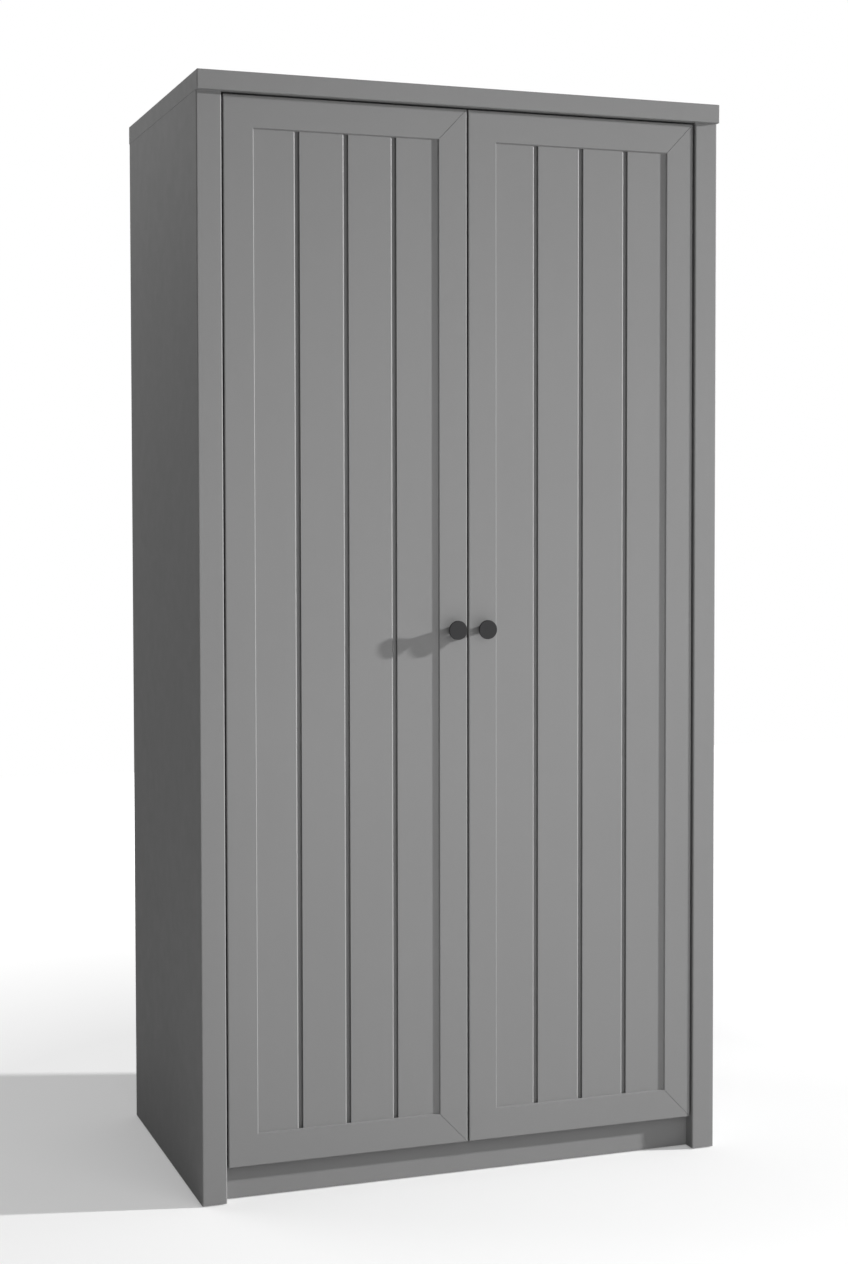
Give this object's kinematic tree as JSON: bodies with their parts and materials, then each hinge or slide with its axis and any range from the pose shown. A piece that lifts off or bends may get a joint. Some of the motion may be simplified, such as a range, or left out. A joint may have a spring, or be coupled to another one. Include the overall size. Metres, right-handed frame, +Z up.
{
  "type": "wardrobe with doors",
  "caption": "Free-standing wardrobe with framed, tongue-and-groove panelled doors, round knobs, hat shelf, clothes rail and recessed plinth.",
  "frame": {"origin": "on the floor, in the middle of the wardrobe's width and overall depth", "axes": "+X to the right seen from the front, +Y to the back, +Z up"},
  "size_m": [1.0026, 0.601, 1.983],
  "materials": {
    "grey_paint": "smooth matt grey paint on fibreboard",
    "inner_foil": "matt grey foil on particleboard",
    "back_hardboard": "grey printed hardboard",
    "knob_paint": "matt near-black powder coat",
    "hinge_nickel": "nickel-plated pressed steel",
    "pin_steel": "turned steel",
    "screw_steel": "zinc-plated steel",
    "cam_zinc": "die-cast zinc",
    "bolt_steel": "zinc-plated steel",
    "dowel_beech": "fluted beech",
    "nail_steel": "bright steel",
    "strip_plastic": "extruded grey plastic",
    "rail_chrome": "chromed oval tube",
    "socket_zinc": "cast zinc",
    "glide_plastic": "black plastic",
    "bumper_plastic": "translucent soft plastic",
    "bracket_paint": "zinc-plated steel"
  },
  "bodies": {
    "carcass": {"arm_screws": "screw_steel", "back_joint_strip": "strip_plastic", "back_panel_left": "back_hardboard", "back_panel_nails": "nail_steel", "back_panel_right": "back_hardboard", "bottom_panel": "inner_foil", "bracket_screws": "screw_steel", "cam_bolts": "bolt_steel", "cam_fasteners": "cam_zinc", "clothes_rail": "rail_chrome", "door_bumpers": "bumper_plastic", "floor_glides": "glide_plastic", "hat_shelf": "inner_foil", "left_hinge_arms": "hinge_nickel", "left_hinge_pins": "pin_steel", "left_hinge_plates": "hinge_nickel", "plate_screws": "screw_steel", "plinth_centre_support": "inner_foil", "plinth_front": "grey_paint", "plinth_rear": "inner_foil", "rail_end_sockets": "socket_zinc", "right_hinge_arms": "hinge_nickel", "right_hinge_pins": "pin_steel", "right_hinge_plates": "hinge_nickel", "shelf_pins": "pin_steel", "side_panel_left": "grey_paint", "side_panel_right": "grey_paint", "socket_screws": "screw_steel", "top_front_rail": "inner_foil", "top_panel": "grey_paint", "top_rail_screws": "screw_steel", "wall_brackets": "bracket_paint", "wooden_dowels": "dowel_beech"},
    "left_door": {"left_door_hinge_stile": "grey_paint", "left_door_meeting_stile": "grey_paint", "left_door_bottom_rail": "grey_paint", "left_door_top_rail": "grey_paint", "left_door_board_1": "grey_paint", "left_door_board_2": "grey_paint", "left_door_board_3": "grey_paint", "left_door_board_4": "grey_paint", "left_hinge_cups": "hinge_nickel", "left_cup_screws": "screw_steel", "left_knob": "knob_paint", "left_knob_screw": "screw_steel"},
    "right_door": {"right_door_hinge_stile": "grey_paint", "right_door_meeting_stile": "grey_paint", "right_door_bottom_rail": "grey_paint", "right_door_top_rail": "grey_paint", "right_door_board_1": "grey_paint", "right_door_board_2": "grey_paint", "right_door_board_3": "grey_paint", "right_door_board_4": "grey_paint", "right_hinge_cups": "hinge_nickel", "right_cup_screws": "screw_steel", "right_knob": "knob_paint", "right_knob_screw": "screw_steel"},
    "left_hinge_links": {"left_hinge_links": "hinge_nickel"},
    "right_hinge_links": {"right_hinge_links": "hinge_nickel"}
  },
  "joints": [
    {"name": "left_door_hinge", "type": "hinge", "parent": "carcass", "child": "left_door", "pos_m": [-0.4544, -0.2739, 1.002], "axis": [0, 0, -1], "range_deg": [0, 110]},
    {"name": "left_link_swing", "type": "hinge", "parent": "carcass", "child": "left_hinge_links", "pos_m": [-0.4531, -0.25187, 1.002], "axis": [0, 0, -1], "range_deg": [0, 69.3]},
    {"name": "right_door_hinge", "type": "hinge", "parent": "carcass", "child": "right_door", "pos_m": [0.4544, -0.2739, 1.002], "axis": [0, 0, 1], "range_deg": [0, 110]},
    {"name": "right_link_swing", "type": "hinge", "parent": "carcass", "child": "right_hinge_links", "pos_m": [0.4531, -0.25187, 1.002], "axis": [0, 0, 1], "range_deg": [0, 69.3]}
  ],
  "couplings": [
    {"joint": "left_link_swing", "follows": "left_door_hinge", "ratio": 0.63},
    {"joint": "right_link_swing", "follows": "right_door_hinge", "ratio": 0.63}
  ]
}
